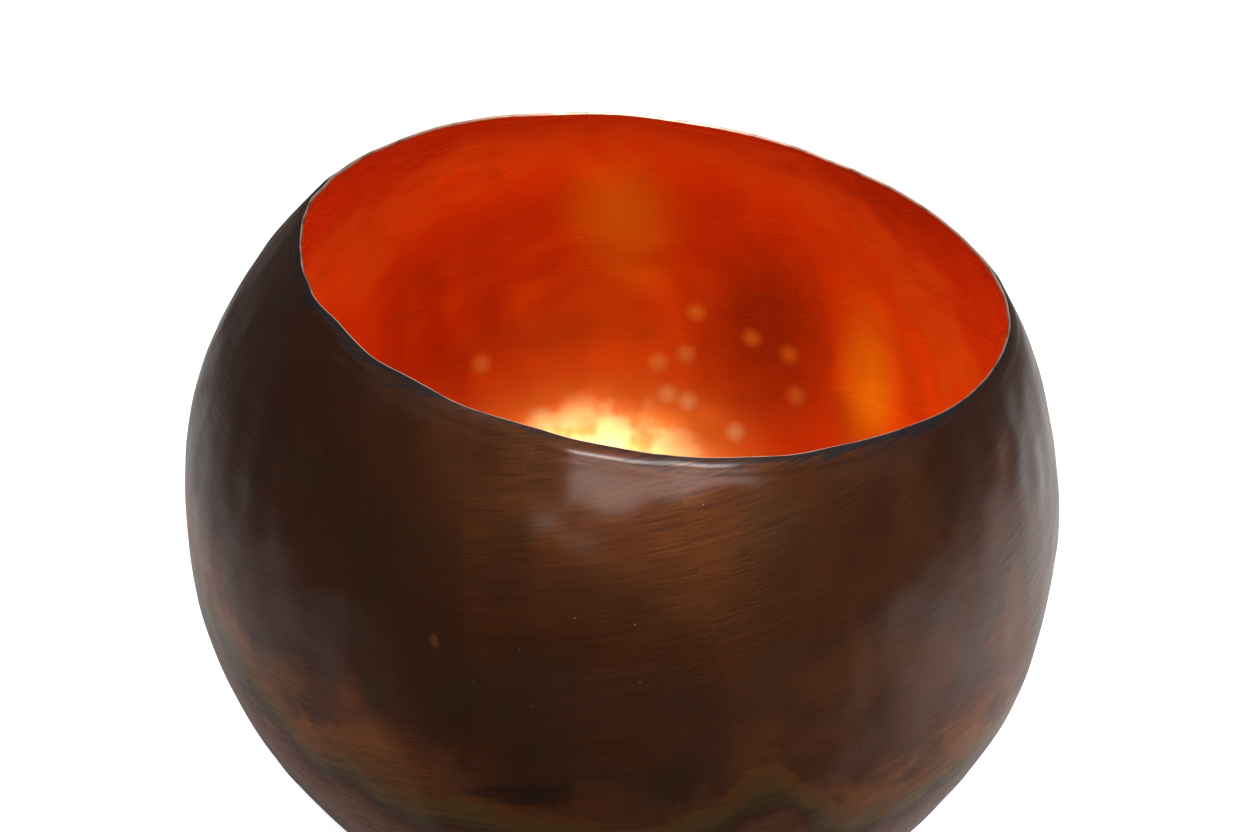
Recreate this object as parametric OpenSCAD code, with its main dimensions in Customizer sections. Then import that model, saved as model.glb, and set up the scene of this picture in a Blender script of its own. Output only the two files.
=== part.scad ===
// Hammered copper bowl. The body is one disc of sheet copper, raised with a hammer into
// an almost complete sphere. Its wide mouth is cut off at a slant, and a small flat is
// hammered under it to stand on. Three felt dots under the flat keep it off the table.
//
// +Z is up, -Y is the front, and the mouth slopes down towards +X. The origin lies on
// the resting plane, under the middle of the flat. All sizes are in millimetres.

/* [Bowl] */
// Outside diameter of the body
body_d = 180; // [140:1:220]
// Thickness of the sheet copper
sheet_t = 0.7; // [0.6:0.05:1.2]
// Diameter of the flat hammered under the body
flat_d = 60; // [50:1:80]

/* [Mouth] */
// Distance from the centre of the body to the plane of the mouth
mouth_h = 56; // [40:1:62]
// Slope of the mouth's plane in degrees, down towards +X
mouth_tilt = 6.85; // [0:0.05:12]

/* [Felt dots] */
// Diameter of one felt dot
felt_d = 10; // [8:0.5:12]
// Thickness of one felt dot
felt_t = 1.5; // [1:0.1:2]
// Distance from the middle of the flat to the middle of a dot
felt_ring_r = 20; // [16:0.5:20]

/* [Hidden] */
$fn = 180;

body_r = body_d / 2;
// The sheet is as thick everywhere, so the inside is a sphere about the same centre
inside_r = body_r - sheet_t;
// The flat cuts the sphere at this height below its centre
flat_drop = sqrt(pow(body_r, 2) - pow(flat_d / 2, 2));
// The copper stands on the felt dots
flat_z = felt_t;
centre_z = flat_z + flat_drop;
// A block of this size is larger than the bowl on every side
beyond = 2 * body_d;
// The three dots stand a third of a turn apart, counted from +X
felt_step = 360 / 3;
patina_brown = [0.25, 0.15, 0.10];
bright_copper = [0.86, 0.33, 0.06];
felt_grey = [0.16, 0.15, 0.14];

// Half of space above the level z
module above(z) {
    translate([-beyond / 2, -beyond / 2, z])
        cube(beyond);
}

// A ball about the centre of the body, flat at the level z underneath
module flattened_ball(r, z) {
    intersection() {
        translate([0, 0, centre_z])
            sphere(r);
        above(z);
    }
}

// All that lies past the slanted plane of the mouth
module past_mouth() {
    translate([0, 0, centre_z])
        rotate([0, mouth_tilt, 0])
            above(mouth_h);
}

// One sheet of copper: dark outside, bright inside, and cut square at the mouth
module bowl_body() {
    difference() {
        color(patina_brown)
            flattened_ball(body_r, flat_z);
        color(bright_copper)
            flattened_ball(inside_r, flat_z + sheet_t);
        color(bright_copper)
            past_mouth();
    }
}

// A felt dot that stands the given number of steps round from +X
module felt_dot(steps) {
    rotate([0, 0, steps * felt_step])
        translate([felt_ring_r, 0, 0])
            color(felt_grey)
                cylinder(d = felt_d, h = felt_t);
}

module felt_pad_right() {
    felt_dot(0);
}

module felt_pad_rear() {
    felt_dot(1);
}

module felt_pad_front() {
    felt_dot(2);
}

bowl_body();
felt_pad_right();
felt_pad_rear();
felt_pad_front();
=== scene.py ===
# %% [markdown]
# # A hammered copper bowl
#
# The bowl is one disc of sheet copper, raised with a hammer into an almost complete
# ball. Its mouth is wide and cut off at a slant. The fire and the wax have turned the
# outside dark brown, and the inside is bright, orange-red copper.
#
# The CAD model holds the plain solids. This script builds what the hammer and the fire
# did to them: the facets, the uneven outline, the turned-in lip, the striped marks and
# the colours. Everything is in metres, in the frame of the CAD model.

# %% Load the frame
import math

import bpy
import numpy as np
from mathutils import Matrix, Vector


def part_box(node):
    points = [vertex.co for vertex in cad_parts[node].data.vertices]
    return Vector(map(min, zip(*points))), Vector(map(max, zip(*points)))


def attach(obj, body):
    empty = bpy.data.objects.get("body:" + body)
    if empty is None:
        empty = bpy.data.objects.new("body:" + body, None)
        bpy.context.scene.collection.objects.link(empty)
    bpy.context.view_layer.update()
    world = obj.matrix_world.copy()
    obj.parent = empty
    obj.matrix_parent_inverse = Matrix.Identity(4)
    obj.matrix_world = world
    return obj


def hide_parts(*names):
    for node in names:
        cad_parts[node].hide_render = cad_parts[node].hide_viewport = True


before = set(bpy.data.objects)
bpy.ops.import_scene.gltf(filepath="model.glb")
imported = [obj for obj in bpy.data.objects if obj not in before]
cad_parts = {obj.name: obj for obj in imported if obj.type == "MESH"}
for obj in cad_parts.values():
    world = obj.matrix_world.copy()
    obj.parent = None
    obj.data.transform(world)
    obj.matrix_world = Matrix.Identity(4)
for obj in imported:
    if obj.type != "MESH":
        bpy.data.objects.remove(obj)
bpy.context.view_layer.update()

# %% [markdown]
# ## The ball, the mouth and the flat
#
# Three things place everything else: the centre and radius of the ball, the slanted
# plane of the mouth, and the flat underneath. Their sizes are the CAD model's own, in
# metres. The felt dots lie under the flat, so the top of a dot is the height of the
# flat. The ball touches both sides of its box, so the width of the box is printed beside the radius.

# %% Measure the plain solids
SHEET = 0.0007
RADIUS = 0.090
FLAT_RADIUS = 0.030
# The plane of the mouth leans towards +X, and lies this far above the centre.
MOUTH_TILT = math.radians(6.85)
MOUTH_HEIGHT = 0.056

body_low, body_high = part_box("bowl_body")
flat_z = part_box("felt_pad_front")[1].z
flat_drop = math.sqrt(RADIUS**2 - FLAT_RADIUS**2)
CENTRE = np.array([0.0, 0.0, flat_z + flat_drop])
print("centre of the ball at", CENTRE.round(5), "radius", round(RADIUS, 5))
print("box of the body says radius", round((body_high.x - body_low.x) / 2, 5))


# %% [markdown]
# ## Two axes
#
# The smith held the ball on a stake and turned it about one axis, so the hammer marks
# lie in rows and columns about that axis, as on a globe. The mouth was cut later, about
# another axis, so the rows of marks run into the rim at a slant. Every point of the
# surface is described by its longitude and latitude about the hammer's axis.

# %% Axes of the hammer and of the mouth
def leaning(angle):
    """A unit vector that leans from +Z towards +X by an angle in radians."""
    return np.array([math.sin(angle), 0.0, math.cos(angle)])


HAMMER_LEAN = math.radians(-8.3)
HAMMER_AXIS = leaning(HAMMER_LEAN)
MOUTH_AXIS = leaning(MOUTH_TILT)
FRONT = np.array([0.0, -1.0, 0.0])
RIGHT = np.cross(FRONT, HAMMER_AXIS) * -1.0


def direction(lon, lat):
    """Unit vectors at longitudes and latitudes, in radians, about the hammer's axis."""
    level = np.cos(lon)[..., None] * FRONT + np.sin(lon)[..., None] * RIGHT
    return np.cos(lat)[..., None] * level + np.sin(lat)[..., None] * HAMMER_AXIS


print("angle between the axes", round(math.degrees(MOUTH_TILT - HAMMER_LEAN), 1))

# %% [markdown]
# ## Columns of hammer blows
#
# Each column is a run of blows from the mouth to the base, and the face of the hammer
# leaves it a little flatter than the ball. No two are as wide. The columns at the front
# are given by their edges, in degrees, and a seeded draw continues them round the back.
# The mesh has whole steps between two edges, so a column's edge is an edge of the mesh.

# %% Edges of the columns
STEPS_AROUND = 600
# The columns round the back are at least and at most this wide, in degrees.
NARROWEST, WIDEST = 6, 14
FRONT_EDGES = [-68, -62, -54, -46, -40, -33, -26, -16, -7, 6, 13, 20, 29, 39, 48, 54, 61]
draw = np.random.default_rng(34)


def column_edges():
    """The steps of the mesh at which a column ends, round the whole bowl."""
    edges = list(FRONT_EDGES)
    last = FRONT_EDGES[0] + 360
    while last - edges[-1] > WIDEST + 1:
        edges.append(edges[-1] + draw.uniform(NARROWEST, WIDEST))
    steps = np.array(edges) / 360 * STEPS_AROUND
    return np.round(steps).astype(int)


EDGES = column_edges()
COLUMN_COUNT = len(EDGES)
print(COLUMN_COUNT, "columns round the bowl")

longitude_step = np.arange(STEPS_AROUND) + EDGES[0]
column_of_step = np.searchsorted(EDGES, longitude_step, side="right") - 1
column_start = EDGES[column_of_step]
column_end = np.append(EDGES, EDGES[0] + STEPS_AROUND)[column_of_step + 1]
column_width = (column_end - column_start) * 2 * math.pi / STEPS_AROUND
LONGITUDE = longitude_step * 2 * math.pi / STEPS_AROUND
ACROSS = (longitude_step - column_start) / (column_end - column_start)

# %% [markdown]
# ## Unevenness by hand
#
# A raised bowl is never a true ball. Its unevenness is a sum of smooth waves that cross
# space in all directions: it has no seams and no poles, it is the same in every run,
# and one number, the wavelength, says how broad its swells are.

# %% Smooth unevenness
def swells(points, wavelength, seed, count=28):
    """A smooth field of about -1 to 1 at points in metres."""
    random = np.random.default_rng(seed)
    ways = random.normal(size=(count, 3))
    ways /= np.linalg.norm(ways, axis=1)[:, None]
    ways *= 2 * math.pi / wavelength * random.uniform(0.7, 1.3, count)[:, None]
    phases = random.uniform(0, 2 * math.pi, count)
    total = np.zeros(points.shape[:-1])
    for way, phase in zip(ways, phases):
        total += np.cos(points @ way + phase)
    return total / math.sqrt(count / 2)


# Broad places where the ball is flatter or prouder than it should be: longitude,
# latitude and reach in degrees, and height in metres.
BROAD_PLACES = [
    (-62, -33, 19, -0.0021),
    (58, -22, 12, 0.0007),
    (88, 30, 12, 0.0006),
    (-96, 30, 12, 0.0008),
    (150, -20, 25, -0.0010),
]


def broad_shape(directions):
    """How far the ball is proud, in metres, at each direction."""
    proud = np.zeros(directions.shape[:-1])
    for lon, lat, reach, height in BROAD_PLACES:
        middle = direction(np.radians(lon), np.radians(lat))
        angle = np.degrees(np.arccos(np.clip(directions @ middle, -1, 1)))
        proud += height * np.exp(-0.5 * (angle / reach) ** 2)
    return proud


# %% [markdown]
# ## The outside surface
#
# The outside is worked out as a distance from the centre in every direction: the ball,
# its broad places, shallow swells from the raising, and the columns. Near the base the
# columns fade, because there they get too narrow for the hammer. The flat is a plane,
# blended into the ball so that the copper turns into it softly.

# %% Distance from the centre
# Share of a truly flat facet that a column has.
FLATNESS = 0.20
# Below this latitude there are no columns, and this many degrees above it they are full.
BARE_BELOW = -62
FADE_OVER = 25
SWELL_HEIGHT = 0.00015
RIPPLE_HEIGHT = 0.00005
# Width of the soft turn from the wall into the flat.
BLEND = 0.0008


def soft_least(a, b, blend):
    """The smaller of a and b, rounded where they are close."""
    closeness = np.clip(0.5 + 0.5 * (b - a) / blend, 0, 1)
    return b + (a - b) * closeness - blend * closeness * (1 - closeness)


def distance(lon, lat, across, width):
    """Distance from the centre to the outside, in metres."""
    ways = direction(lon, lat)
    points = ways * RADIUS
    sagitta = RADIUS * (width * np.cos(lat)) ** 2 / 8
    bulge = 1 - (2 * across - 1) ** 2
    fade = np.clip((np.degrees(lat) - BARE_BELOW) / FADE_OVER, 0, 1)
    fade = fade * (1 + 0.6 * swells(points, 0.030, 9))
    reach = RADIUS + broad_shape(ways)
    reach = reach - FLATNESS * sagitta * bulge * fade
    reach = reach + SWELL_HEIGHT * swells(points, 0.036, 5)
    reach = reach + RIPPLE_HEIGHT * swells(points, 0.011, 6)
    down = np.maximum(-ways[..., 2], 1e-3)
    return soft_least(reach, flat_drop / down, BLEND)


# %% [markdown]
# ## The lip
#
# The last three millimetres of the wall bend in a little, where the smith closed and
# filed the edge, and a faint groove runs under the bend. The bend is what catches a
# thin line of light below the mouth. At each longitude the rim is the latitude at
# which the wall meets the mouth's plane, and halving a range over and over finds it.
# The rows of points lie closest together near the rim, where the shape changes most.

# %% Rows from the rim to the base
GROOVE_PLACE = 0.0036
GROOVE_WIDTH = 0.0009
GROOVE_DEPTH = 0.00003
EDGE_REACH = 0.0030
EDGE_DROP = 0.00034
RIM_WAVER = 0.00012
# The rim lies near the first of these latitudes, and between the other two.
RIM_NEAR, RIM_LEAST, RIM_MOST = np.radians([38, 5, 75])
HALVINGS = 40
ROWS_OUTSIDE = 270
ROWS_LIP = 24
LIP_ROWS_REACH = 0.0045


def turned_in(arc):
    """How far the wall lies inward at a distance from the rim, in metres."""
    groove = GROOVE_DEPTH * np.exp(-(((arc - GROOVE_PLACE) / GROOVE_WIDTH) ** 2))
    return groove + EDGE_DROP * np.clip(1 - arc / EDGE_REACH, 0, 1) ** 2


def rim_latitude(lon, across, width):
    """The latitude at which the wall meets the plane of the mouth."""
    lat = np.full(lon.shape, RIM_NEAR)
    waver = RIM_WAVER * swells(direction(lon, lat) * RADIUS, 0.021, 11)
    low = np.full(lon.shape, RIM_LEAST)
    high = np.full(lon.shape, RIM_MOST)
    for _ in range(HALVINGS):
        middle = (low + high) / 2
        reach = distance(lon, middle, across, width) - turned_in(0.0)
        height = reach * (direction(lon, middle) @ MOUTH_AXIS)
        above = height > MOUTH_HEIGHT + waver
        high = np.where(above, middle, high)
        low = np.where(above, low, middle)
    return (low + high) / 2


rim = rim_latitude(LONGITUDE, ACROSS, column_width)
print("rim from latitude", np.degrees(rim).min().round(1), np.degrees(rim).max().round(1))

lip_share = LIP_ROWS_REACH / (RADIUS * (rim + math.pi / 2))
lip_rows = np.linspace(0, 1, ROWS_LIP, endpoint=False)[:, None] * lip_share
wall_rows = np.linspace(0, 1, ROWS_OUTSIDE, endpoint=False)[:, None]
wall_rows = lip_share + (1 - lip_share) * wall_rows
SHARE = np.vstack([lip_rows, wall_rows])
LATITUDE = rim - SHARE * (rim + math.pi / 2)
ARC = SHARE * RADIUS * (rim + math.pi / 2)

reach = distance(LONGITUDE[None, :] + 0 * LATITUDE, LATITUDE, ACROSS, column_width)
reach = reach - turned_in(ARC)
outside = CENTRE + reach[..., None] * direction(LONGITUDE + 0 * LATITUDE, LATITUDE)
print("outside of", outside.shape[0], "rows of", outside.shape[1], "points")

# %% [markdown]
# ## The inside and the cut edge
#
# The inside is the outside moved in by the thickness of the sheet, along the wall's own
# normal, so the bend of the lip and every facet show on both sides, as they do in real
# sheet. The inside keeps every second row, and gets small dimples of its own from the
# stake. Between the two runs the cut edge, with its corners rounded by the file.

# %% Offset the wall
def grid_normals(points):
    """Outward unit normals of a closed band of points."""
    around = np.roll(points, -1, axis=1) - np.roll(points, 1, axis=1)
    along = np.gradient(points, axis=0)
    normals = np.cross(around, along)
    normals /= np.linalg.norm(normals, axis=2)[..., None]
    outward = np.sign(np.sum(normals * (points - CENTRE), axis=2))[..., None]
    return normals * outward


DIMPLE_HEIGHT = 0.00002
DIMPLE_SIZE = 0.009
# The dimples grow to their full height over this distance from the rim.
DIMPLES_GROW_OVER = 0.010
normals = grid_normals(outside)
dimples = DIMPLE_HEIGHT * swells(outside, DIMPLE_SIZE, 21)
dimples = dimples * np.clip(ARC / DIMPLES_GROW_OVER, 0, 1)
inside = outside - normals * (SHEET + dimples)[..., None]
kept_rows = np.r_[0:ROWS_LIP:2, ROWS_LIP : len(inside) : 2]
inside = inside[kept_rows]
print("inside of", len(inside), "rows")

# %% Round the cut edge
EDGE_TURNS = 5
ROUNDING = 0.00016


def cut_edge(start, end, normal):
    """Rows of points across the cut edge, from the outside to the inside."""
    rows = []
    up = np.cross(np.roll(start, -1, axis=0) - np.roll(start, 1, axis=0), normal)
    up /= np.linalg.norm(up, axis=1)[:, None]
    up *= np.sign(up @ MOUTH_AXIS)[:, None]
    for turn in np.linspace(0, math.pi, EDGE_TURNS + 2)[1:-1]:
        share = (1 - math.cos(turn)) / 2
        rise = ROUNDING * math.sin(turn) ** 0.5
        rows.append(start + (end - start) * share + up * rise)
    return rows


edge = cut_edge(outside[0], inside[0], normals[0])
print("cut edge of", len(edge), "rows")

# %% [markdown]
# ## One mesh
#
# The rows are joined from the middle of the base outside, up the wall, over the cut
# edge and down the inside to the middle of the base again, so the sheet is one closed
# mesh. Each face remembers its side for its finish, and its column, so that the colour
# can change from one run of blows to the next just where the shape does.

# %% Join the rows
def pole(points):
    """The middle of the last row, where the mesh closes."""
    return points[-1].mean(axis=0)


rows = [*outside[::-1], *edge, *inside]
bands = len(rows) - 1
vertices = np.vstack([np.vstack(rows), pole(outside), pole(inside)])
row_start = np.arange(bands)[:, None] * STEPS_AROUND
step = np.arange(STEPS_AROUND)
next_step = np.roll(step, -1)
quads = np.stack(
    [
        row_start + step,
        row_start + next_step,
        row_start + STEPS_AROUND + next_step,
        row_start + STEPS_AROUND + step,
    ],
    axis=2,
).reshape(-1, 4)
outside_pole = len(vertices) - 2
inside_pole = len(vertices) - 1
last = bands * STEPS_AROUND
to_outside_pole = np.full(STEPS_AROUND, outside_pole)
to_inside_pole = np.full(STEPS_AROUND, inside_pole)
fan_outside = np.stack([next_step, step, to_outside_pole], axis=1)
fan_inside = np.stack([last + step, last + next_step, to_inside_pole], axis=1)
faces = [*quads.tolist(), *fan_outside.tolist(), *fan_inside.tolist()]

mesh = bpy.data.meshes.new("copper_shell")
mesh.from_pydata(vertices.tolist(), [], faces)
mesh.update()
copper_shell = bpy.data.objects.new("copper_shell", mesh)
bpy.context.scene.collection.objects.link(copper_shell)
print("shell of", len(vertices), "points and", len(faces), "faces")

# %% Side and column of every face
OUTSIDE, EDGE, INSIDE = 0, 1, 2
side_of_band = np.full(bands, INSIDE)
side_of_band[: len(outside) - 1] = OUTSIDE
side_of_band[len(outside) - 1 : len(outside) + len(edge)] = EDGE
sides = np.repeat(side_of_band, STEPS_AROUND)
sides = np.concatenate([sides, np.full(STEPS_AROUND, OUTSIDE), np.full(STEPS_AROUND, INSIDE)])
mesh.polygons.foreach_set("material_index", sides.astype(np.int32))
mesh.polygons.foreach_set("use_smooth", np.ones(len(sides), bool))

tones = draw.uniform(0, 1, COLUMN_COUNT)
tone_of_step = tones[column_of_step]
tone = np.concatenate([np.tile(tone_of_step, bands), tone_of_step, tone_of_step])
attribute = mesh.attributes.new("column_tone", "FLOAT", "FACE")
attribute.data.foreach_set("value", tone.astype(np.float32))
print("faces by side:", np.bincount(sides).tolist())

# %% [markdown]
# ## Shader groups
#
# The finishes share a few effects, and each is a node group with named inputs and
# outputs. The first gives hammer coordinates: a place on the unrolled globe of the
# hammer's axis, in millimetres, so that a noise can be long along a row of blows and
# short across it. The others are the striped marks themselves, fine dust, and a spot,
# which masks a round or tall place at a longitude and latitude.

# %% Small helpers for node trees
MM = 1000.0


def add(tree, kind, **settings):
    """A new node with its settings."""
    node = tree.nodes.new(kind)
    for name, value in settings.items():
        setattr(node, name, value)
    return node


def math_node(tree, operation, a, b=0.0, c=0.0, clamp=False):
    """A Math node on sockets or numbers, and its output."""
    node = tree.nodes.new("ShaderNodeMath")
    node.operation = operation
    node.use_clamp = clamp
    for socket, value in zip(node.inputs, (a, b, c)):
        if isinstance(value, bpy.types.NodeSocket):
            tree.links.new(value, socket)
        else:
            socket.default_value = value
    return node.outputs[0]


def vector_node(tree, operation, a, b=(0.0, 0.0, 0.0), scale=1.0):
    """A Vector Math node on sockets or triples, and the output that it fills."""
    node = tree.nodes.new("ShaderNodeVectorMath")
    node.operation = operation
    for socket, value in ((node.inputs[0], a), (node.inputs[1], b)):
        if isinstance(value, bpy.types.NodeSocket):
            tree.links.new(value, socket)
        else:
            socket.default_value = value
    if isinstance(scale, bpy.types.NodeSocket):
        tree.links.new(scale, node.inputs["Scale"])
    elif operation == "SCALE":
        node.inputs["Scale"].default_value = scale
    return node.outputs["Value" if operation in ("DOT_PRODUCT", "LENGTH") else "Vector"]


def remap(tree, value, low, high, to_low=0.0, to_high=1.0, smooth=True):
    """value from low to high, spread over to_low to to_high and clamped."""
    node = tree.nodes.new("ShaderNodeMapRange")
    node.interpolation_type = "SMOOTHSTEP" if smooth else "LINEAR"
    tree.links.new(value, node.inputs["Value"])
    node.inputs["From Min"].default_value = low
    node.inputs["From Max"].default_value = high
    node.inputs["To Min"].default_value = to_low
    node.inputs["To Max"].default_value = to_high
    return node.outputs["Result"]


def window(tree, value, low, high, leave_low, leave_high):
    """1 from high to leave_low, and 0 before low and past leave_high."""
    rising = remap(tree, value, low, high)
    falling = remap(tree, value, leave_high, leave_low)
    return math_node(tree, "MULTIPLY", rising, falling)


def noise(tree, vector, size, detail=2.0, roughness=0.5, w=None, distortion=0.0):
    """Noise whose features are about size units of the vector, from 0 to 1."""
    node = tree.nodes.new("ShaderNodeTexNoise")
    node.noise_dimensions = "3D" if w is None else "4D"
    tree.links.new(vector, node.inputs["Vector"])
    node.inputs["Scale"].default_value = 1.0 / size
    node.inputs["Detail"].default_value = detail
    node.inputs["Roughness"].default_value = roughness
    node.inputs["Distortion"].default_value = distortion
    if isinstance(w, bpy.types.NodeSocket):
        tree.links.new(w, node.inputs["W"])
    return node.outputs["Fac"]


def blend(tree, share, a, b, mode="MIX"):
    """Colour a turned into colour b by a share, each a socket or a triple."""
    node = tree.nodes.new("ShaderNodeMix")
    node.data_type = "RGBA"
    node.blend_type = mode
    node.clamp_factor = True
    for socket, value in ((node.inputs[0], share), (node.inputs[6], a), (node.inputs[7], b)):
        if isinstance(value, bpy.types.NodeSocket):
            tree.links.new(value, socket)
        elif isinstance(value, (int, float)):
            socket.default_value = value
        else:
            socket.default_value = (*value, 1.0)
    return node.outputs[2]


def group(name, inputs=(), outputs=()):
    """An empty node group with its named sockets, and its two end nodes."""
    tree = bpy.data.node_groups.new(name, "ShaderNodeTree")
    for label, kind, value in inputs:
        socket = tree.interface.new_socket(label, in_out="INPUT", socket_type=kind)
        socket.default_value = value
    for label, kind in outputs:
        tree.interface.new_socket(label, in_out="OUTPUT", socket_type=kind)
    start = tree.nodes.new("NodeGroupInput")
    end = tree.nodes.new("NodeGroupOutput")
    return tree, start, end


def use_group(tree, made, **values):
    """A node that uses a group, with its inputs linked or set by name."""
    node = tree.nodes.new("ShaderNodeGroup")
    node.node_tree = made
    for name, value in values.items():
        socket = node.inputs[name.replace("_", " ").capitalize()]
        if isinstance(value, bpy.types.NodeSocket):
            tree.links.new(value, socket)
        else:
            socket.default_value = value
    return node


FLOAT, VECTOR = "NodeSocketFloat", "NodeSocketVector"
print("helpers for node trees are ready")

# %% Group: hammer coordinates
# A noise in row places is this many times finer across the rows than along them.
ROW_STRETCH = 20.0


def make_hammer_coordinates():
    tree, start, end = group(
        "Hammer coordinates",
        outputs=[
            ("Place", VECTOR),
            ("Row place", VECTOR),
            ("Longitude", FLOAT),
            ("Latitude", FLOAT),
            ("Height", FLOAT),
            ("From rim", FLOAT),
        ],
    )
    texture = add(tree, "ShaderNodeTexCoord")
    place = vector_node(tree, "SUBTRACT", texture.outputs["Object"], tuple(CENTRE))
    place_mm = vector_node(tree, "SCALE", place, scale=MM)
    way = vector_node(tree, "NORMALIZE", place)
    along = vector_node(tree, "DOT_PRODUCT", way, tuple(HAMMER_AXIS))
    front = vector_node(tree, "DOT_PRODUCT", way, tuple(FRONT))
    right = vector_node(tree, "DOT_PRODUCT", way, tuple(RIGHT))
    latitude = math_node(tree, "ARCSINE", along)
    longitude = math_node(tree, "ARCTAN2", right, front)
    row = math_node(tree, "MULTIPLY", latitude, RADIUS * MM)
    combined = tree.nodes.new("ShaderNodeCombineXYZ")
    tree.links.new(math_node(tree, "MULTIPLY", front, RADIUS * MM), combined.inputs[0])
    tree.links.new(math_node(tree, "MULTIPLY", right, RADIUS * MM), combined.inputs[1])
    tree.links.new(math_node(tree, "MULTIPLY", row, ROW_STRETCH), combined.inputs[2])
    height = vector_node(tree, "DOT_PRODUCT", place_mm, (0, 0, 1))
    mouth = vector_node(tree, "DOT_PRODUCT", place_mm, tuple(MOUTH_AXIS))
    slant = math.sqrt(1 - (MOUTH_HEIGHT / RADIUS) ** 2)
    to_rim = math_node(tree, "SUBTRACT", MOUTH_HEIGHT * MM, mouth)
    tree.links.new(place_mm, end.inputs["Place"])
    tree.links.new(combined.outputs[0], end.inputs["Row place"])
    tree.links.new(math_node(tree, "DEGREES", longitude), end.inputs["Longitude"])
    tree.links.new(math_node(tree, "DEGREES", latitude), end.inputs["Latitude"])
    tree.links.new(height, end.inputs["Height"])
    tree.links.new(math_node(tree, "DIVIDE", to_rim, slant), end.inputs["From rim"])
    return tree


HAMMER_COORDINATES = make_hammer_coordinates()


# %% Group: striped hammer marks
def make_hammer_marks():
    tree, start, end = group(
        "Hammer marks",
        inputs=[
            ("Row place", VECTOR, (0, 0, 0)),
            ("Place", VECTOR, (0, 0, 0)),
            ("Column", FLOAT, 0.0),
            ("Length", FLOAT, 8.0),
            ("Patchiness", FLOAT, 0.6),
        ],
        outputs=[("Lines", FLOAT), ("Broad", FLOAT), ("Patches", FLOAT)],
    )
    spread = math_node(tree, "MULTIPLY", start.outputs["Column"], 40.0)
    size = math_node(tree, "DIVIDE", 1.0, start.outputs["Length"])
    scaled = vector_node(tree, "SCALE", start.outputs["Row place"], scale=size)
    fine = noise(tree, scaled, 1.0, 2.0, 0.6, spread)
    broad = noise(tree, scaled, 2.7, 2.0, 0.5, spread)
    patches = noise(tree, start.outputs["Place"], 16.0, 2.0)
    patch = remap(tree, patches, 0.38, 0.62)
    lines = remap(tree, fine, 0.40, 0.66)
    uneven = math_node(tree, "MULTIPLY", start.outputs["Patchiness"], patch)
    even = math_node(tree, "SUBTRACT", 1.0, start.outputs["Patchiness"])
    strength = math_node(tree, "ADD", uneven, even)
    tree.links.new(math_node(tree, "MULTIPLY", lines, strength), end.inputs["Lines"])
    tree.links.new(remap(tree, broad, 0.36, 0.64), end.inputs["Broad"])
    tree.links.new(patch, end.inputs["Patches"])
    return tree


HAMMER_MARKS = make_hammer_marks()


# %% Group: dust
def make_dust():
    tree, start, end = group(
        "Dust",
        inputs=[
            ("Place", VECTOR, (0, 0, 0)),
            ("Spacing", FLOAT, 6.0),
            ("Speck", FLOAT, 0.02),
        ],
        outputs=[("Mask", FLOAT)],
    )
    cells = tree.nodes.new("ShaderNodeTexVoronoi")
    scale = math_node(tree, "DIVIDE", 1.0, start.outputs["Spacing"])
    tree.links.new(start.outputs["Place"], cells.inputs["Vector"])
    tree.links.new(scale, cells.inputs["Scale"])
    separate = tree.nodes.new("ShaderNodeSeparateColor")
    tree.links.new(cells.outputs["Color"], separate.inputs[0])
    grown = math_node(tree, "MULTIPLY", separate.outputs[0], start.outputs["Speck"])
    speck = math_node(tree, "LESS_THAN", cells.outputs["Distance"], grown)
    tree.links.new(speck, end.inputs["Mask"])
    return tree


DUST = make_dust()


# %% Group: a spot
def make_spot():
    """A group that masks a round or tall place about a direction from the centre."""
    tree, start, end = group(
        "Spot",
        inputs=[
            ("Place", VECTOR, (0, 0, 0)),
            ("Middle", VECTOR, (0, 0, 1)),
            ("Reach", FLOAT, 0.1),
            ("Squeeze", FLOAT, 0.0),
        ],
        outputs=[("Mask", FLOAT)],
    )
    way = vector_node(tree, "NORMALIZE", start.outputs["Place"])
    away = vector_node(tree, "SUBTRACT", way, start.outputs["Middle"])
    up = vector_node(tree, "DOT_PRODUCT", away, tuple(HAMMER_AXIS))
    lift = math_node(tree, "MULTIPLY", up, start.outputs["Squeeze"])
    along = vector_node(tree, "SCALE", tuple(HAMMER_AXIS), scale=lift)
    squeezed = vector_node(tree, "ADD", away, along)
    from_middle = vector_node(tree, "LENGTH", squeezed)
    share = math_node(tree, "DIVIDE", from_middle, start.outputs["Reach"])
    tree.links.new(remap(tree, share, 1.0, 0.0), end.inputs["Mask"])
    return tree


SPOT = make_spot()


def spot_at(tree, hammer, lon, lat, reach, tall=1.0):
    """The mask of a spot at a longitude and latitude, with its reach in degrees."""
    middle = direction(np.radians(lon), np.radians(lat))
    node = use_group(
        tree,
        SPOT,
        place=hammer.outputs["Place"],
        middle=tuple(middle),
        reach=math.radians(reach),
        squeeze=1 / tall - 1,
    )
    return node.outputs["Mask"]


print("node groups:", [g.name for g in bpy.data.node_groups])


# %% [markdown]
# ## The outside: waxed heat patina
#
# Hot copper grows a skin of oxide: dark brown where it is thick, orange where it is
# thin, and straw, green and purple in the ring where the flame played low on the wall.
# It is still metal, so the colour is the tint of a metallic surface, and the thin coat
# of wax is the shader's coat, which adds the pale, colourless reflections at the sides.

# %% Colours of the patina
BROWN = (0.074, 0.021, 0.006)
RED_BROWN = (0.120, 0.030, 0.006)
OLIVE = (0.051, 0.026, 0.010)
NEARLY_BLACK = (0.019, 0.011, 0.008)
BLUE_BLACK = (0.018, 0.024, 0.032)
FLAKE_ORANGE = (0.195, 0.051, 0.012)
GOLDEN_BROWN = (0.163, 0.048, 0.012)
RUST = (0.233, 0.063, 0.011)
WARM_BROWN = (0.150, 0.046, 0.012)

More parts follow.
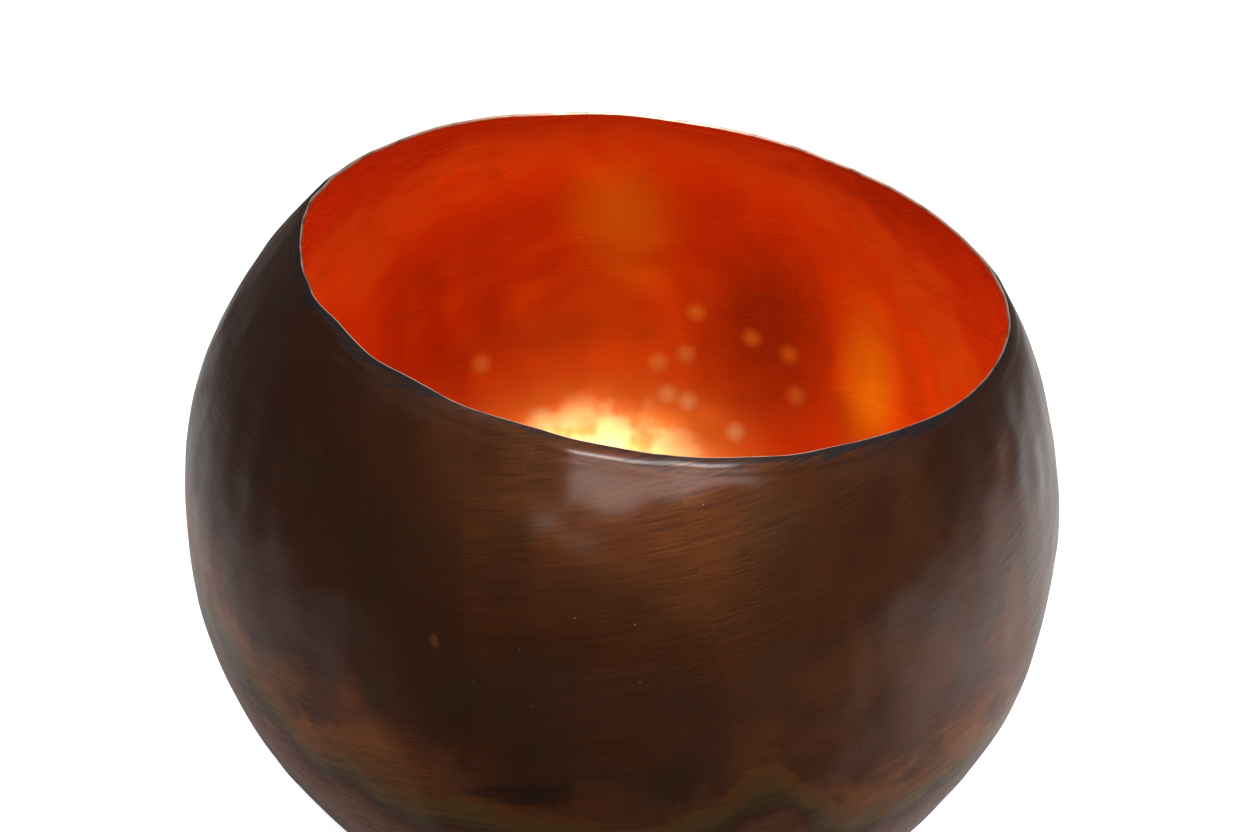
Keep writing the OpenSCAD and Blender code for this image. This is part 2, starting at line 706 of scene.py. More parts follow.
# Broad tints of the front: colour, its strength, longitude, latitude and reach in
# degrees, and how many times taller than wide the tint is.
OUTSIDE_TINTS = [
    (WARM_BROWN, 0.8, 24, 3, 21, 1.0),
    (WARM_BROWN, 0.9, 55, -5, 22, 1.2),
    (WARM_BROWN, 0.8, -58, 0, 18, 1.2),
    (GOLDEN_BROWN, 0.4, 14, 23, 12, 1.2),
    (GOLDEN_BROWN, 0.6, 43, 21, 10, 1.2),
    (GOLDEN_BROWN, 0.5, 62, 16, 7, 0.9),
    (GOLDEN_BROWN, 0.5, 32, 8, 13, 1.2),
    (OLIVE, 0.8, -19, 12, 9, 0.8),
    (OLIVE, 0.6, -38, 29, 18, 0.8),
    (RUST, 0.8, -33, 7, 3.5, 2.2),
    (RUST, 0.7, -29, 4, 6, 0.6),
    (RUST, 0.7, -44, 7, 6, 0.7),
    (RUST, 0.6, -22, 2, 5, 0.5),
    (RUST, 0.7, 39, -17, 4, 1.7),
    (RUST, 0.6, 29, -15, 5, 0.7),
    (RUST, 0.5, 22, -11, 4, 1.2),
    (NEARLY_BLACK, 0.7, -20, 1, 10, 0.35),
    (NEARLY_BLACK, 0.7, -11, -2, 9, 0.4),
    (NEARLY_BLACK, 0.4, -52, 11, 7, 0.35),
    (NEARLY_BLACK, 0.5, 50, 17, 4, 0.9),
]

print(len(OUTSIDE_TINTS), "broad tints outside")

# %% [markdown]
# ## The ring of heat colours
#
# Where the flame played, the oxide is so thin that its thickness sets its colour: straw,
# green, purple and brown follow each other within two centimetres. A Color Ramp lays
# these tints out by the distance below a line. The line is a tilted circle that a few
# windows of longitude lift or lower, and the narrowest of them draws the eye, a small
# loop at the front right.

# %% Heat ring
# Place of each tint of the heat ring: millimetres below the ring's line, and colour.
HEAT_TINTS = [
    (-22, BROWN),
    (-15, (0.132, 0.034, 0.009)),
    (-9, (0.238, 0.065, 0.012)),
    (-4, (0.225, 0.068, 0.012)),
    (-1, (0.158, 0.065, 0.012)),
    (2, (0.146, 0.071, 0.016)),
    (5, (0.080, 0.046, 0.014)),
    (8, (0.092, 0.023, 0.008)),
    (12, (0.158, 0.043, 0.016)),
    (20, (0.185, 0.061, 0.025)),
    (30, (0.125, 0.043, 0.019)),
    (42, BROWN),
]
RING_TOP = HEAT_TINTS[0][0]
RING_DEPTH = HEAT_TINTS[-1][0] - RING_TOP
# The line's mean latitude and its lean, in degrees.
RING_LATITUDE = -7.8
RING_LEAN = -7.6
# Stretches where the line is lifted: by how many degrees, and the four longitudes at
# which the lift starts, is full, starts to end and has ended. The last is the eye.
RING_LIFTS = [
    (9.0, -150, -100, -62, -38),
    (-7.0, 19, 28, 100, 140),
    (-2.8, -20, -9, 3, 10),
    (5.2, 9.5, 14.5, 17.5, 21.5),
]
# The ring wanders up and down by this many millimetres.
RING_DRIFT = 4.0


def ring_line(tree, longitude):
    """The latitude of the heat ring's line, in degrees, at a longitude."""
    lean = math_node(tree, "SINE", math_node(tree, "RADIANS", longitude))
    line = math_node(tree, "MULTIPLY_ADD", lean, RING_LEAN, RING_LATITUDE)
    for lift, *stretch in RING_LIFTS:
        share = window(tree, longitude, *stretch)
        line = math_node(tree, "MULTIPLY_ADD", share, lift, line)
    return line


def heat_ring(tree, hammer, marks):
    """The colour of the heat ring, and how much of it shows."""
    longitude = hammer.outputs["Longitude"]
    above = math_node(tree, "SUBTRACT", ring_line(tree, longitude), hammer.outputs["Latitude"])
    depth = math_node(tree, "MULTIPLY", above, RADIUS * MM * math.pi / 180)
    drift = noise(tree, hammer.outputs["Place"], 14.0, 3.0)
    drift = remap(tree, drift, 0.25, 0.75, -RING_DRIFT, RING_DRIFT, smooth=False)
    streak = remap(tree, marks.outputs["Broad"], 0.0, 1.0, -1.0, 1.0, smooth=False)
    depth = math_node(tree, "ADD", depth, math_node(tree, "ADD", drift, streak))
    share = remap(tree, depth, RING_TOP, RING_TOP + RING_DEPTH, smooth=False)
    ramp = tree.nodes.new("ShaderNodeValToRGB")
    stops = ramp.color_ramp.elements
    stops[0].color = (*HEAT_TINTS[0][1], 1.0)
    stops[1].color = (*HEAT_TINTS[-1][1], 1.0)
    for place, tint in HEAT_TINTS[1:-1]:
        stops.new((place - RING_TOP) / RING_DEPTH).color = (*tint, 1.0)
    tree.links.new(share, ramp.inputs[0])

    # The orange above the line is a row of clouds, weaker in the middle of the front.
    clouds = remap(tree, noise(tree, hammer.outputs["Place"], 18.0, 4.0, 0.6), 0.40, 0.58)
    middle = window(tree, longitude, -32, -12, 12, 32)
    weak = math_node(tree, "MULTIPLY_ADD", middle, -0.6, 1.0)
    orange = math_node(tree, "MULTIPLY", clouds, weak)
    solid = remap(tree, depth, -7.0, -2.0)
    return ramp.outputs[0], math_node(tree, "MAXIMUM", orange, solid)


print(len(HEAT_TINTS), "heat tints over", RING_DEPTH, "mm")


# %% Helpers for materials
def principled(name):
    """A new material, its node tree and its Principled shader."""
    material = bpy.data.materials.new(name)
    material.use_nodes = True
    tree = material.node_tree
    return material, tree, tree.nodes["Principled BSDF"]


def bump(tree, height, depth, under=None):
    """A Bump node for a height of 0 to 1 that stands for a depth in metres."""
    node = tree.nodes.new("ShaderNodeBump")
    node.inputs["Strength"].default_value = 1.0
    node.inputs["Distance"].default_value = depth
    tree.links.new(height, node.inputs["Height"])
    if under is not None:
        tree.links.new(under, node.inputs["Normal"])
    return node.outputs["Normal"]


# %% [markdown]
# ## The finish of the outside
#
# The colour is built up as on the real bowl: brown with red and olive clouds, broad
# tints, the heat ring, the dark marks of the hammer, and the blue-black burnt rim. Then
# come one orange flake and a little dust. The wax is thinner where the flame played.

# %% Finish of the outside
WAX_LEAST, WAX_MOST = 0.44, 0.57
# Places where the flame has thinned the wax: longitude, latitude and reach in degrees,
# how many times taller than wide, and the share of the wax that is left.
BURNT_PLACES = [
    (-33, -10, 52, 0.75, 0.35),
    (28, -20, 34, 0.8, 0.45),
]
# Where the blue-black rim is worn thin by hands, as four longitudes.
WORN_STRETCH = (-26, -12, 18, 34)
DUST_COLOUR = (0.42, 0.38, 0.34)


def make_waxed_patina():
    material, tree, shader = principled("waxed_patina")
    hammer = use_group(tree, HAMMER_COORDINATES)
    place = hammer.outputs["Place"]
    column = add(tree, "ShaderNodeAttribute", attribute_name="column_tone").outputs["Fac"]
    marks = use_group(
        tree,
        HAMMER_MARKS,
        row_place=hammer.outputs["Row place"],
        place=place,
        column=column,
    )
    lines = marks.outputs["Lines"]

    # Clouds of red and of olive in the brown, each broken up by the marks.
    cloud = noise(tree, place, 26.0, 4.0, 0.6)
    cloud = math_node(tree, "ADD", cloud, math_node(tree, "MULTIPLY", column, 0.16))
    red = remap(tree, cloud, 0.52, 0.74)
    red = math_node(tree, "MULTIPLY", red, remap(tree, marks.outputs["Broad"], 0, 1, 0.35, 1))
    other = noise(tree, vector_node(tree, "ADD", place, (91.0, 17.0, 53.0)), 22.0, 3.0)
    olive = remap(tree, other, 0.48, 0.68)
    colour = blend(tree, math_node(tree, "MULTIPLY", red, 0.75), BROWN, RED_BROWN)
    colour = blend(tree, math_node(tree, "MULTIPLY", olive, 0.7), colour, OLIVE)
    for tint, strength, lon, lat, reach, tall in OUTSIDE_TINTS:
        mask = spot_at(tree, hammer, lon, lat, reach, tall)
        mask = math_node(tree, "MULTIPLY", mask, remap(tree, cloud, 0.35, 0.60, 0.5, 1.0))
        colour = blend(tree, math_node(tree, "MULTIPLY", mask, strength), colour, tint)

    ring_colour, ring_share = heat_ring(tree, hammer, marks)
    colour = blend(tree, ring_share, colour, ring_colour)
    colour = blend(tree, math_node(tree, "MULTIPLY", lines, 0.30), colour, NEARLY_BLACK)

    # Blue-black oxide in ragged tongues that run from the rim along the marks.
    tongue = noise(tree, hammer.outputs["Row place"], 11.0, 3.0, 0.6)
    tongue = remap(tree, tongue, 0.45, 0.75, 0.5, 3.2, smooth=False)
    broad_rim = noise(tree, place, 30.0, 1.0)
    tongue = math_node(tree, "MULTIPLY", tongue, remap(tree, broad_rim, 0.4, 0.6, 0.5, 1.8))
    near_rim = math_node(tree, "DIVIDE", hammer.outputs["From rim"], tongue)
    near_rim = remap(tree, near_rim, 1.2, 0.3)
    worn = window(tree, hammer.outputs["Longitude"], *WORN_STRETCH)
    near_rim = math_node(tree, "MULTIPLY", near_rim, remap(tree, worn, 0.0, 1.0, 1.0, 0.6))
    colour = blend(tree, math_node(tree, "MULTIPLY", near_rim, 0.75), colour, BLUE_BLACK)

    flake_edge = noise(tree, place, 1.6, 2.0)
    flake = spot_at(tree, hammer, -20.2, 17.8, 1.0, 2.2)
    flake = math_node(tree, "MULTIPLY", flake, flake_edge)
    colour = blend(tree, remap(tree, flake, 0.12, 0.50), colour, FLAKE_ORANGE)

    dust = use_group(tree, DUST, place=place, spacing=3.6, speck=0.032).outputs["Mask"]
    colour = blend(tree, math_node(tree, "MULTIPLY", dust, 0.5), colour, DUST_COLOUR)
    tree.links.new(colour, shader.inputs["Base Color"])

    # The marks are duller than the copper between them.
    grain = noise(tree, place, 0.55, 3.0, 0.7)
    dull = math_node(tree, "MULTIPLY", lines, 0.12)
    rough = math_node(tree, "ADD", dull, remap(tree, grain, 0.3, 0.7, 0.48, 0.56))
    rough = math_node(tree, "ADD", rough, math_node(tree, "MULTIPLY", near_rim, 0.15))
    tree.links.new(rough, shader.inputs["Roughness"])
    tree.links.new(remap(tree, dust, 0, 1, 1.0, 0.2), shader.inputs["Metallic"])
    wax = remap(tree, noise(tree, place, 9.0, 3.0), 0.3, 0.7, WAX_LEAST, WAX_MOST)
    for lon, lat, reach, tall, left_over in BURNT_PLACES:
        burnt = spot_at(tree, hammer, lon, lat, reach, tall)
        wax = math_node(tree, "MULTIPLY", wax, remap(tree, burnt, 0.0, 0.8, 1.0, left_over))
    wax = math_node(tree, "SUBTRACT", wax, math_node(tree, "MULTIPLY", near_rim, 0.3))
    tree.links.new(wax, shader.inputs["Coat Weight"])
    shader.inputs["Coat Roughness"].default_value = 0.16
    shader.inputs["Coat IOR"].default_value = 1.45

    normal = bump(tree, math_node(tree, "SUBTRACT", 1.0, lines), 0.000012)
    normal = bump(tree, marks.outputs["Broad"], 0.00002, normal)
    normal = bump(tree, grain, 0.000006, normal)
    tree.links.new(normal, shader.inputs["Normal"])
    return material


waxed_patina = make_waxed_patina()
print(waxed_patina.name, "with", len(waxed_patina.node_tree.nodes), "nodes")

# %% [markdown]
# ## The inside: bright copper
#
# The inside was pickled and brushed, so it is clean metal. Light that bounces from wall
# to wall loses green and blue each time, and that turns the salmon colour of copper
# into orange and deep red. Redder and orange places are also painted into the colour,
# as painted reflections of that glow. The finish is copper, satin enough to spread the
# light, with stained and darker places, faint brush marks, a pale painted highlight low
# on the far wall and small round painted glints. Towards the rim the colour is painted
# darker, as painted shade.

# %% Finish of the inside
COPPER = (0.88, 0.235, 0.027)
PAINTED_HIGHLIGHT_COPPER = (0.985, 0.64, 0.24)
PAINTED_GLOW_COPPER = (0.99, 0.78, 0.060)
PAINTED_RED_REFLECTION = (0.91, 0.165, 0.015)
STAIN_AND_SHADE = (0.50, 0.12, 0.03)
# Strength of the fine stains all over, and of the painted shade at the rim.
STAINED = 0.08
DARKER_AT_RIM = 0.40

# Broad tints of the inside. The red and orange ones are painted reflections of the light
# that bounces between the walls, and the others are darker places: colour, its strength,
# longitude, latitude and reach in degrees, and how many times taller than wide the tint is.
INSIDE_TINTS = [
    (PAINTED_RED_REFLECTION, 0.9, 153, -26, 16, 0.7),
    (PAINTED_RED_REFLECTION, 0.7, 163, -8, 22, 0.8),
    (PAINTED_RED_REFLECTION, 0.7, -150, -2, 22, 0.8),
    (PAINTED_RED_REFLECTION, 1.0, -122, 20, 42, 1.0),
    (PAINTED_RED_REFLECTION, 0.9, 110, 22, 38, 1.0),
    (PAINTED_GLOW_COPPER, 1.0, 178, 15, 12, 1.6),
    (STAIN_AND_SHADE, 1.0, 158, -6, 17, 1.2),
    (STAIN_AND_SHADE, 0.4, -158, -3, 14, 0.5),
    (STAIN_AND_SHADE, 0.7, -171, -4, 12, 0.6),
    (STAIN_AND_SHADE, 0.45, 178, -5, 10, 0.8),
    (STAIN_AND_SHADE, 0.5, -174, 2, 19, 0.6),
    (PAINTED_GLOW_COPPER, 1.0, 140, -13, 8, 2.6),
]
# Small round pale spots painted as glints, painted highlights: longitude and latitude,
# and their reach, all in degrees.
PAINTED_GLINT_REACH = 2.3
PAINTED_GLINTS = [
    (169, -3.8),
    (175.9, -11.7),
    (171.3, -10.7),
    (175, -17),
    (171.8, -18.3),
    (160.4, -8),
    (154.3, -10.2),
    (153.3, -16.8),
    (164, -23.4),
    (-163.8, -17.2),
    (-156.5, -6),
]


def make_bright_copper():
    material, tree, shader = principled("bright_copper")
    hammer = use_group(tree, HAMMER_COORDINATES)
    place = hammer.outputs["Place"]
    colour = COPPER
    for tint, strength, lon, lat, reach, tall in INSIDE_TINTS:
        mask = spot_at(tree, hammer, lon, lat, reach, tall)
        mask = math_node(tree, "MULTIPLY", mask, strength)
        colour = blend(tree, mask, colour, tint)
    # Painted highlight: a pale, ragged patch low on the far wall.
    ragged = remap(tree, noise(tree, place, 9.0, 3.0, 0.5), 0.35, 0.60, 0.35, 1.0)
    pale = spot_at(tree, hammer, -171, -29, 26, 0.75)
    pale = remap(tree, math_node(tree, "MULTIPLY", pale, ragged), 0.05, 0.55)
    colour = blend(tree, pale, colour, PAINTED_HIGHLIGHT_COPPER)
    stain = noise(tree, place, 16.0, 3.0, 0.5)
    stain = math_node(tree, "MULTIPLY", remap(tree, stain, 0.42, 0.62), STAINED)
    colour = blend(tree, stain, colour, STAIN_AND_SHADE)
    # Painted shade: the colour is darker towards the rim.
    shade = remap(tree, hammer.outputs["From rim"], 26.0, 3.0, 0.0, DARKER_AT_RIM)
    colour = blend(tree, shade, colour, STAIN_AND_SHADE)
    # Painted highlights: small round pale glints.
    for lon, lat in PAINTED_GLINTS:
        mask = spot_at(tree, hammer, lon, lat, PAINTED_GLINT_REACH)
        colour = blend(tree, math_node(tree, "MULTIPLY", mask, 0.9), colour, PAINTED_HIGHLIGHT_COPPER)
    tree.links.new(colour, shader.inputs["Base Color"])
    shader.inputs["Metallic"].default_value = 1.0
    brushed = noise(tree, hammer.outputs["Row place"], 60.0, 2.0, 0.5)
    rough = remap(tree, brushed, 0.3, 0.7, -0.006, 0.006)
    scoured = remap(tree, hammer.outputs["Height"], -12.0, -40.0, 0.27, 0.41)
    tree.links.new(math_node(tree, "ADD", rough, scoured), shader.inputs["Roughness"])
    normal = bump(tree, noise(tree, place, 9.0, 2.0), 0.00002)
    tree.links.new(normal, shader.inputs["Normal"])
    return material


bright_copper = make_bright_copper()
print(bright_copper.name, "with", len(bright_copper.node_tree.nodes), "nodes")

# %% [markdown]
# ## The cut edge
#
# The rim was filed last, so a hairline of pale, scratched copper shows between the dark
# outside and the bright inside.

# %% Finish of the cut edge
FILED = (0.80, 0.50, 0.38)
TARNISHED = (0.45, 0.20, 0.12)


def make_filed_edge():
    material, tree, shader = principled("filed_edge")
    hammer = use_group(tree, HAMMER_COORDINATES)
    scratches = noise(tree, hammer.outputs["Place"], 0.35, 3.0, 0.7)
    tarnish = noise(tree, hammer.outputs["Place"], 5.0, 3.0)
    colour = blend(tree, remap(tree, tarnish, 0.45, 0.7), FILED, TARNISHED)
    tree.links.new(colour, shader.inputs["Base Color"])
    shader.inputs["Metallic"].default_value = 1.0
    tree.links.new(remap(tree, scratches, 0.3, 0.7, 0.28, 0.5), shader.inputs["Roughness"])
    tree.links.new(bump(tree, scratches, 0.00001), shader.inputs["Normal"])
    return material


# The order is that of the sides: outside, cut edge, inside.
for finish in (waxed_patina, make_filed_edge(), bright_copper):
    mesh.materials.append(finish)
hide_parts("bowl_body")
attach(copper_shell, "root")
print("finishes:", [m.name for m in mesh.materials])

# %% [markdown]
# ## Felt dots
#
# Each dot is a punched disc of pressed felt: soft at its edges, a little uneven, with
# a fuzz of fibres at the cut. It is squeezed between the copper and the table, so both
# faces are flat and only the edge swells.

# %% Build the dots
DOT_STEPS = 96
DOT_ROWS = 14
FIBRES = 260
FIBRE_THICKNESS = 0.000018
# Share of the thickness that the rounding of the cut takes.
DOT_CORNER = 0.28


def dot_profile(share, radius, thickness):
    """Radius and height along a dot's outline, from the middle below to above."""
    corner = thickness * DOT_CORNER
    flat = radius - corner
    if share < 0.3:
        return flat * share / 0.3, 0.0
    if share > 0.7:
        return flat * (1 - share) / 0.3, thickness
    turn = (share - 0.3) / 0.4 * math.pi
    swell = corner * math.sin(turn)
    return flat + swell, thickness * (1 - math.cos(turn)) / 2


def make_dot(name, low, high, seed):
    """A felt disc that fills the box of its plain solid, with fibres at its edge."""
    middle = np.array([(low.x + high.x) / 2, (low.y + high.y) / 2, low.z])
    radius = (high.x - low.x) / 2
    thickness = high.z - low.z
    random = np.random.default_rng(seed)
    points = []
    for row in range(1, DOT_ROWS * 2):
        out, up = dot_profile(row / (DOT_ROWS * 2), radius, thickness)
        for step in range(DOT_STEPS):
            turn = 2 * math.pi * step / DOT_STEPS
            points.append((out * math.cos(turn), out * math.sin(turn), up))
    points = np.array(points)
    edge_share = np.clip(np.hypot(points[:, 0], points[:, 1]) / radius - 0.7, 0, 1) / 0.3
    uneven = 1 + 0.012 * swells(points, 0.0022, seed) * edge_share
    points[:, :2] *= uneven[:, None]
    rows = DOT_ROWS * 2 - 1
    faces = []
    for row in range(rows - 1):
        for step in range(DOT_STEPS):
            after = (step + 1) % DOT_STEPS
            first = row * DOT_STEPS
            second = first + DOT_STEPS
            faces.append((first + step, first + after, second + after, second + step))
    below, above = len(points), len(points) + 1
    points = np.vstack([points, (0, 0, 0), (0, 0, thickness)])
    for step in range(DOT_STEPS):
        after = (step + 1) % DOT_STEPS
        faces.append((after, step, below))
        faces.append(((rows - 1) * DOT_STEPS + step, (rows - 1) * DOT_STEPS + after, above))
    points = points.tolist()
    for _ in range(FIBRES):
        turn = random.uniform(0, 2 * math.pi)
        up = random.uniform(0.15, 0.85) * thickness
        length = random.uniform(0.0002, 0.0006)
        lean = random.uniform(-0.9, 0.9)
        root = np.array([math.cos(turn), math.sin(turn), 0]) * radius * 0.97
        root[2] = up
        way = np.array([math.cos(turn + lean), math.sin(turn + lean), random.uniform(-0.4, 0.4)])
        side = np.array([-way[1], way[0], 0.0])
        tip = root + way * length
        tip[2] = min(max(tip[2], 0.0001), thickness - 0.0001)
        base = len(points)
        half = side * FIBRE_THICKNESS
        rise = np.array([0, 0, FIBRE_THICKNESS])
        points += [(root - half).tolist(), (root + half).tolist()]
        points += [(root + rise * 2).tolist(), tip.tolist()]
        faces += [(base, base + 1, base + 3), (base + 1, base + 2, base + 3)]
        faces += [(base + 2, base, base + 3), (base, base + 2, base + 1)]
    made = bpy.data.meshes.new(name)
    made.from_pydata((np.array(points) + middle).tolist(), [], faces)
    made.polygons.foreach_set("use_smooth", np.ones(len(faces), bool))
    piece = bpy.data.objects.new(name, made)
    bpy.context.scene.collection.objects.link(piece)
    return piece


# %% Finish of the felt
def make_felt():
    material, tree, shader = principled("felt")
    texture = add(tree, "ShaderNodeTexCoord")
    place = vector_node(tree, "SCALE", texture.outputs["Object"], scale=MM)
    fibres = noise(tree, place, 0.25, 4.0, 0.75, distortion=1.2)
    clumps = noise(tree, place, 1.8, 3.0)
    colour = blend(tree, fibres, (0.030, 0.028, 0.027), (0.12, 0.11, 0.105))
    colour = blend(tree, remap(tree, clumps, 0.45, 0.7), colour, (0.09, 0.085, 0.08))
    tree.links.new(colour, shader.inputs["Base Color"])
    tree.links.new(remap(tree, fibres, 0.3, 0.7, 0.85, 1.0), shader.inputs["Roughness"])
    shader.inputs["Sheen Weight"].default_value = 0.35
    shader.inputs["Sheen Roughness"].default_value = 0.5
    normal = bump(tree, clumps, 0.0001)
    tree.links.new(bump(tree, fibres, 0.00008, normal), shader.inputs["Normal"])
    return material


felt = make_felt()
for number, side in enumerate(("right", "rear", "front")):
    node = "felt_pad_" + side
    dot = make_dot("felt_dot_" + side, *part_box(node), seed=40 + number)
    dot.data.materials.append(felt)
    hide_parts(node)
    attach(dot, "root")
    print(dot.name, "with", len(dot.data.polygons), "faces")

# %% [markdown]
# ## Camera
#
# The bowl is seen from above its front, so that the mouth is a wide ellipse and the
# far wall of the inside shows. The lens is a portrait lens, close enough that the ball
# fills most of the frame and the base falls below it.

# %% Place the camera
PITCH = math.radians(31.35)
LENS_MM = 75
SENSOR_MM = 36
# The centre of the ball as the camera sees it: to the right, up and back, in metres.
BALL_IN_VIEW = (-0.00045, -0.01757, -0.543)


def place_camera():
    data = bpy.data.cameras.new("camera")
    data.lens = LENS_MM
    data.sensor_width = SENSOR_MM
    data.clip_start = 0.01
    camera = bpy.data.objects.new("camera", data)
    bpy.context.scene.collection.objects.link(camera)
    camera.rotation_euler = (math.pi / 2 - PITCH, 0, 0)
    right = np.array([1.0, 0.0, 0.0])
    up = np.array([0.0, math.sin(PITCH), math.cos(PITCH)])
    back = np.array([0.0, -math.cos(PITCH), math.sin(PITCH)])
    x, y, z = BALL_IN_VIEW
    camera.location = CENTRE - x * right - y * up - z * back
    bpy.context.scene.camera = camera
    return camera


camera = place_camera()
print("camera at", [round(x, 4) for x in camera.location])

# %% [markdown]
# ## Floor and light
#
# A dark glossy ball shows its surroundings, so they matter as much as the finish. The
# floor is pale, but what the bowl mirrors of it is darker in front and brighter at the
# two sides, and that makes the milky flanks. Those sides also glow a little, as painted
# light, and close around the foot the mirrored floor is darker, as a painted shadow.
# From below the floor is see-through, so that the underside can be looked at.

# %% Floor
FLOOR_REACH = 3.0
FLOOR_PALE = (0.86, 0.86, 0.86)
FLOOR_DIM = (0.16, 0.15, 0.145)
# Bright stretches of the floor to the right and left: four places along X, in metres,
# and how bright they are.
GLOW_RIGHT = (0.10, 0.28, 0.45, 0.62)
GLOW_LEFT = (-0.60, -0.40, -0.25, -0.10)
GLOW_RIGHT_STRENGTH = 0.30
GLOW_LEFT_STRENGTH = 0.25


def make_floor():
    made = bpy.data.meshes.new("floor")
    corners = [(x * FLOOR_REACH, y * FLOOR_REACH, 0) for x, y in ((-1, -1), (1, -1), (1, 1), (-1, 1))]
    made.from_pydata(corners, [], [(0, 1, 2, 3)])
    floor = bpy.data.objects.new("floor", made)
    bpy.context.scene.collection.objects.link(floor)
    material, tree, shader = principled("pale_floor")
    texture = add(tree, "ShaderNodeTexCoord")
    separate = tree.nodes.new("ShaderNodeSeparateXYZ")
    tree.links.new(texture.outputs["Object"], separate.inputs[0])
    aside = math_node(tree, "ABSOLUTE", separate.outputs["X"])
    forward = math_node(tree, "MULTIPLY_ADD", aside, 0.4, separate.outputs["Y"])
    front = remap(tree, forward, -0.13, 0.0)
    back = remap(tree, separate.outputs["Y"], 0.40, 0.22)
    lit = math_node(tree, "MULTIPLY", front, back)
    sideways = remap(tree, separate.outputs["X"], -0.3, 0.3, 0.50, 1.0)
    lit = math_node(tree, "MULTIPLY", lit, sideways)
    away = vector_node(tree, "LENGTH", texture.outputs["Object"])
    # Painted shadow: close around the bowl's foot the mirrored floor is darker.
    lit = math_node(tree, "MULTIPLY", lit, remap(tree, away, 0.09, 0.22, 0.6, 1.0))
    lit = math_node(tree, "MULTIPLY", lit, remap(tree, away, 0.80, 0.55))
    seen = add(tree, "ShaderNodeLightPath").outputs["Is Camera Ray"]
    colour = blend(tree, lit, FLOOR_DIM, FLOOR_PALE)
    colour = blend(tree, seen, colour, FLOOR_PALE)
    tree.links.new(colour, shader.inputs["Base Color"])
    shader.inputs["Roughness"].default_value = 0.8
    shader.inputs["Specular IOR Level"].default_value = 0.1
    shader.inputs["Emission Color"].default_value = (1, 1, 1, 1)
    # Painted light: the two sides of the floor glow, but only in what the bowl mirrors and lights; to
    # the camera the floor glows evenly.
    right = window(tree, separate.outputs["X"], *GLOW_RIGHT)
    left = window(tree, separate.outputs["X"], *GLOW_LEFT)
    glow = math_node(tree, "MULTIPLY", right, GLOW_RIGHT_STRENGTH)
    glow = math_node(tree, "MULTIPLY_ADD", left, GLOW_LEFT_STRENGTH, glow)
    glow = math_node(tree, "MULTIPLY", glow, lit)
    unseen = math_node(tree, "SUBTRACT", 1.0, seen)
    glow = math_node(tree, "MULTIPLY", glow, unseen)
    glow = math_node(tree, "MULTIPLY_ADD", seen, 0.7, glow)
    tree.links.new(glow, shader.inputs["Emission Strength"])
    output = tree.nodes["Material Output"]
    see_through = tree.nodes.new("ShaderNodeMixShader")
    below = tree.nodes.new("ShaderNodeNewGeometry").outputs["Backfacing"]
    tree.links.new(below, see_through.inputs[0])
    tree.links.new(shader.outputs[0], see_through.inputs[1])
    clear = tree.nodes.new("ShaderNodeBsdfTransparent")
    tree.links.new(clear.outputs[0], see_through.inputs[2])
    tree.links.new(see_through.outputs[0], output.inputs["Surface"])
    made.materials.append(material)
    return floor


floor = make_floor()
print("floor of", 2 * FLOOR_REACH, "m")

# %% [markdown]
# ## Lamps
#
# A broad soft box overhead fills the inside. A low soft box in front gives the soft
# patch under the mouth, and a thin, bright one above it draws the line of light on the
# bent lip: both stand where the wall mirrors them into the camera. A narrow lamp lights
# one place low inside, from which the glow spreads.

# %% Lamps
LAMP_AWAY = 1.1


def place_lamp(name, data, place, target):
    """A lamp at a place, turned towards a target."""
    lamp = bpy.data.objects.new(name, data)
    bpy.context.scene.collection.objects.link(lamp)
    lamp.location = place
    way = np.array(target) - np.array(place)
    lamp.rotation_euler = Vector(way).to_track_quat("-Z", "Y").to_euler()
    return lamp


def soft_box(name, place, width, height, radiance):
    """An area light that looks at the ball. radiance is its brightness as seen."""
    data = bpy.data.lights.new(name, "AREA")
    data.shape = "RECTANGLE"
    data.size = width
    data.size_y = height
    data.energy = radiance * math.pi * width * height
    return place_lamp(name, data, place, CENTRE.tolist())


def narrow_spot(name, place, target, degrees, watts):
    """A spot lamp with a soft edge that lights only a small place."""
    data = bpy.data.lights.new(name, "SPOT")
    data.energy = watts
    data.spot_size = math.radians(degrees)
    data.spot_blend = 1.0
    data.shadow_soft_size = 0.03
    return place_lamp(name, data, place, target)


def seen_from_bowl(azimuth, elevation):
    """A place for a lamp: azimuth 0 is the front, and positive is to the right."""
    a, e = math.radians(azimuth), math.radians(elevation)
    way = np.array([math.sin(a) * math.cos(e), -math.cos(a) * math.cos(e), math.sin(e)])
    return (CENTRE + LAMP_AWAY * way).tolist()


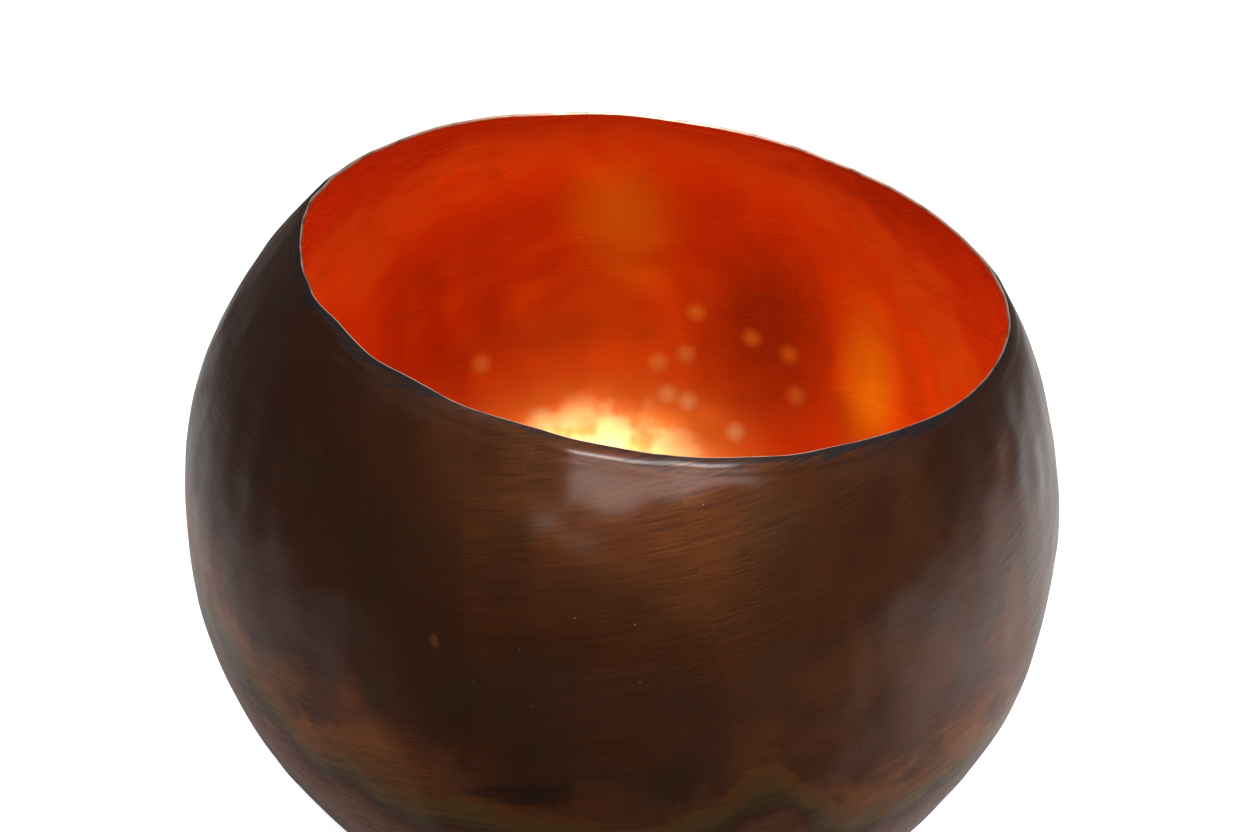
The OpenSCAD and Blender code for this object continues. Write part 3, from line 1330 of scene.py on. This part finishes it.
hot_place = CENTRE + RADIUS * direction(np.radians(-174), np.radians(-24))
lamps = [
    soft_box("overhead", (0.0, 0.25, 1.35), 1.5, 1.5, 0.85),
    soft_box("front", seen_from_bowl(12, 36.5), 1.0, 0.19, 5.8),
    soft_box("lip", seen_from_bowl(13, 50), 0.85, 0.10, 32.0),
    narrow_spot("into_the_bowl", seen_from_bowl(6, 50), hot_place.tolist(), 3.2, 170.0),
]
print("lamps:", [lamp.name for lamp in lamps])

# %% [markdown]
# ## The room
#
# Between the lamps the room is dim, a little lighter in front, and pale high up. To the
# camera itself the background is plain white.

# %% The dim room
ROOM_BEHIND = (0.10, 0.097, 0.095)
ROOM_IN_FRONT = (0.17, 0.162, 0.154)
ROOM_ABOVE = (0.47, 0.46, 0.44)
WHITE = (1.0, 1.0, 1.0)


def make_room():
    world = bpy.data.worlds.new("room")
    world.use_nodes = True
    tree = world.node_tree
    background = tree.nodes["Background"]
    texture = add(tree, "ShaderNodeTexCoord")
    separate = tree.nodes.new("ShaderNodeSeparateXYZ")
    tree.links.new(texture.outputs["Generated"], separate.inputs[0])
    frontward = remap(tree, separate.outputs["Y"], 0.6, -0.6)
    colour = blend(tree, frontward, ROOM_BEHIND, ROOM_IN_FRONT)
    in_front = remap(tree, separate.outputs["Y"], -0.15, -0.65, 0.24, 0.66)
    on_left = remap(tree, separate.outputs["X"], -0.3, -0.8, 0.0, 0.24)
    edge = math_node(tree, "ADD", in_front, on_left)
    upward = math_node(tree, "SUBTRACT", separate.outputs["Z"], edge)
    colour = blend(tree, remap(tree, upward, -0.05, 0.08), colour, ROOM_ABOVE)
    seen = add(tree, "ShaderNodeLightPath").outputs["Is Camera Ray"]
    colour = blend(tree, seen, colour, WHITE)
    tree.links.new(colour, background.inputs["Color"])
    return world


# Light bounces from wall to wall many times before it leaves the bowl.
GLOSSY_BOUNCES = 12
bpy.context.scene.world = make_room()
bpy.context.scene.cycles.glossy_bounces = GLOSSY_BOUNCES
bpy.context.scene.view_settings.view_transform = "Standard"
print("world:", bpy.context.scene.world.name)
